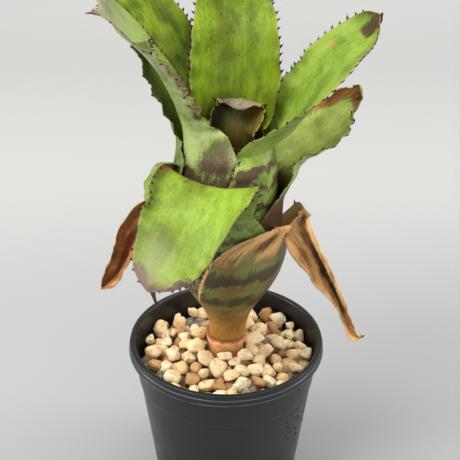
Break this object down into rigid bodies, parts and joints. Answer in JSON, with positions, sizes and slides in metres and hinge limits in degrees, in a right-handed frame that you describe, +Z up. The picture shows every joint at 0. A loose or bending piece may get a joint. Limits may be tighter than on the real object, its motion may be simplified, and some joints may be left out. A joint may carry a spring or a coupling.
{
  "type": "potted canistrum",
  "caption": "Tank bromeliad with broad spine-edged strap leaves nested into an urn, two withered leaves hanging, in a round nursery pot topped with pumice.",
  "frame": {"origin": "middle of the pot's flat underside, where the pot stands on the floor", "axes": "+Z up along the pot's axis, -Y towards the viewer of the picture, +X to that viewer's right"},
  "size_m": [0.1394, 0.1203, 0.3172],
  "materials": {
    "pot": "satin charcoal",
    "pumice": "dry porous stone",
    "stem": "smooth, slightly glossy",
    "green_leaf": "waxy leaf",
    "young_leaf": "waxy leaf",
    "dead_leaf": "dry papery leaf"
  },
  "bodies": {
    "root": {"pot": "pot", "pumice": "pumice", "stem": "stem", "leaf_young": "young_leaf", "leaf_back": "green_leaf", "leaf_left": "green_leaf", "leaf_right": "green_leaf", "leaf_back_left": "green_leaf", "leaf_right_low": "green_leaf", "leaf_front": "green_leaf", "leaf_left_dead": "dead_leaf", "leaf_right_dead": "dead_leaf"}
  },
  "joints": []
}
